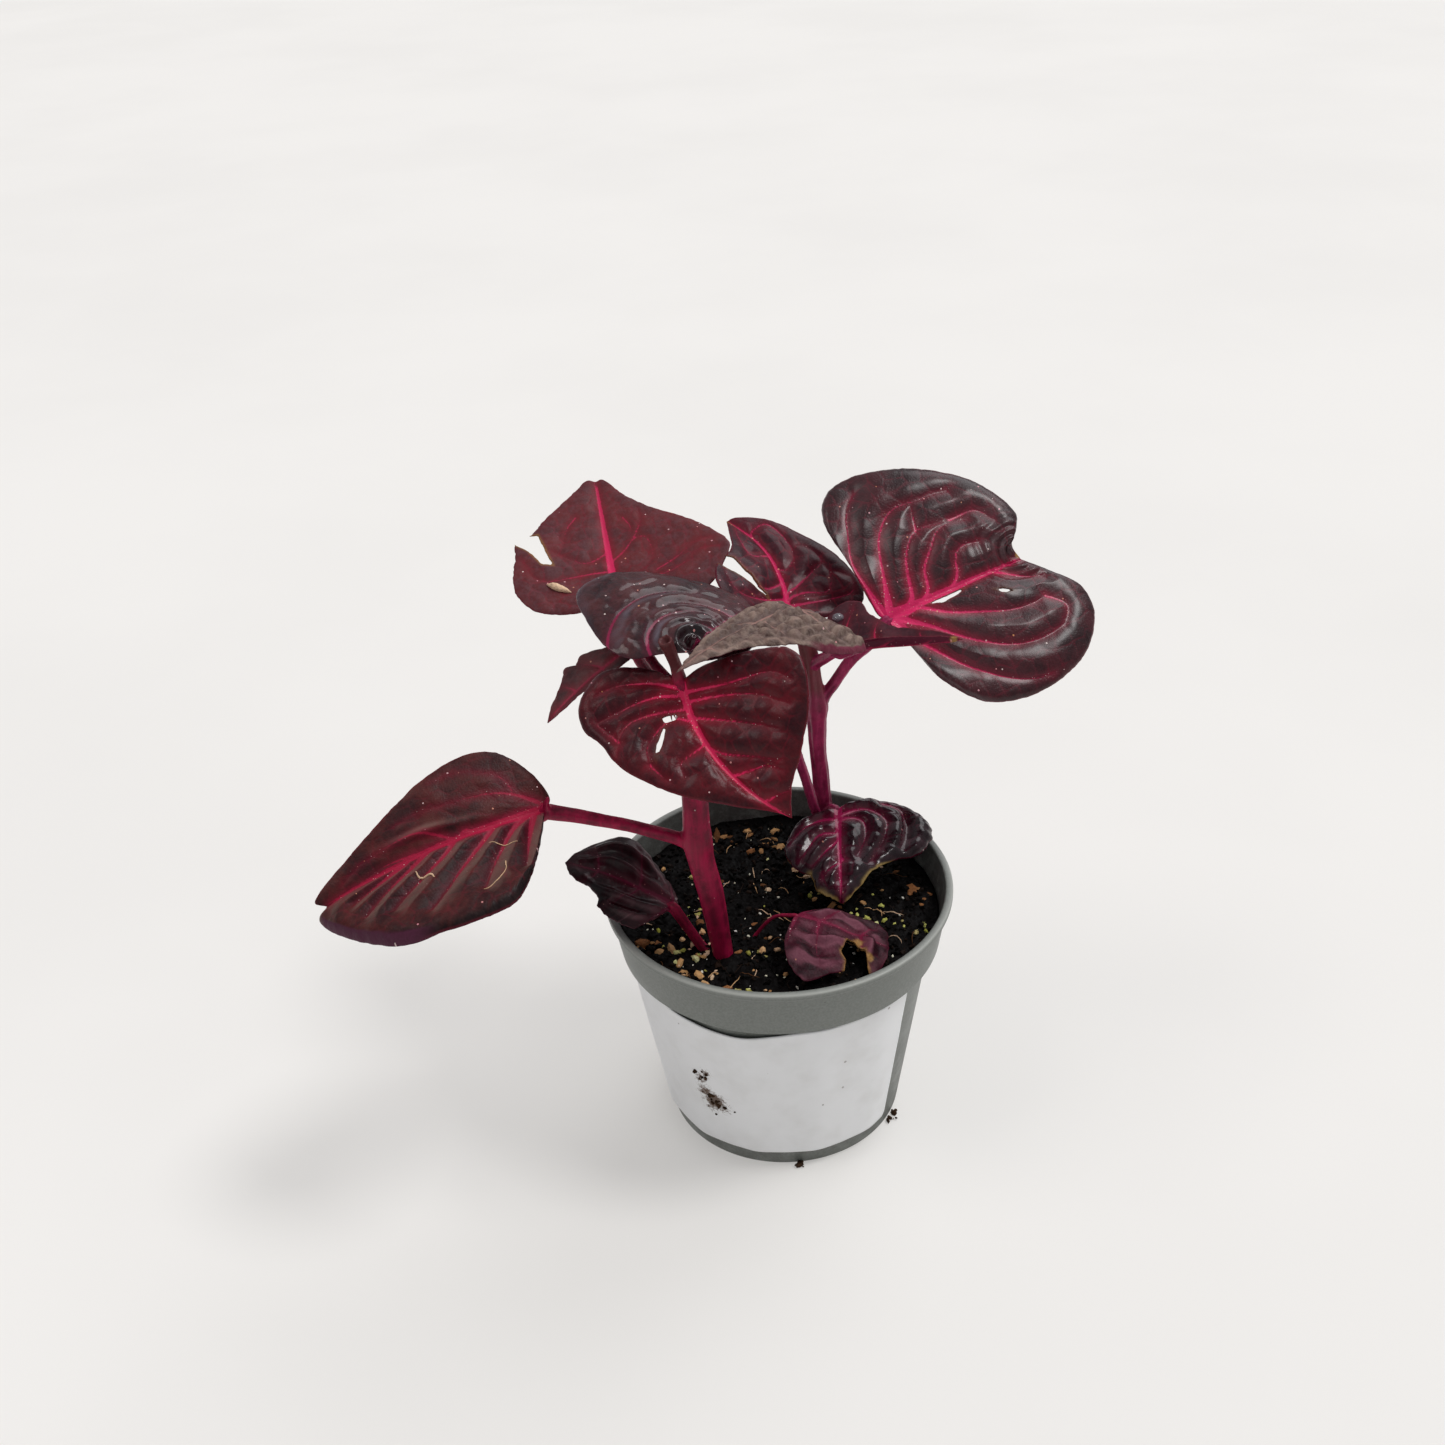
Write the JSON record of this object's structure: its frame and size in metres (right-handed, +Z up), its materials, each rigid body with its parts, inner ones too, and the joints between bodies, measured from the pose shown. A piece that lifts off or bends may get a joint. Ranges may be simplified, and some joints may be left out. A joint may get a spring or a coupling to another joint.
{
  "type": "potted bloodleaf",
  "caption": "Young bloodleaf plant with magenta stems and puckered dark red leaves, in a small tapered nursery pot with a plain paper label round its lower wall.",
  "frame": {"origin": "centre of the pot's base, on the surface that it stands on", "axes": "+Z up, -Y towards the front, where the label and the heart-shaped leaf face, +X to the right as seen from the front"},
  "size_m": [0.1281, 0.0807, 0.1076],
  "materials": {
    "pot_plastic": "satin",
    "label_paper": "matte",
    "peat": "matte",
    "left_stem_skin": "satin",
    "right_stem_skin": "satin",
    "leaf_glossy": "gloss",
    "leaf_satin": "satin",
    "leaf_dusty": "matte",
    "leaf_purple": "satin"
  },
  "bodies": {
    "root": {"pot": "pot_plastic", "label": "label_paper", "soil": "peat", "left_stem": "left_stem_skin", "right_stem": "right_stem_skin", "leaf_right_notched": "leaf_glossy", "leaf_front_heart": "leaf_satin", "leaf_low_left": "leaf_satin", "leaf_back_left": "leaf_satin", "leaf_back_centre": "leaf_satin", "leaf_arched_glossy": "leaf_glossy", "leaf_grey_front": "leaf_dusty", "leaf_folded_right": "leaf_purple", "leaf_small_left": "leaf_dusty", "leaf_low_right": "leaf_glossy", "leaf_drooping_left": "leaf_glossy", "leaf_fallen_front": "leaf_purple"}
  },
  "joints": []
}
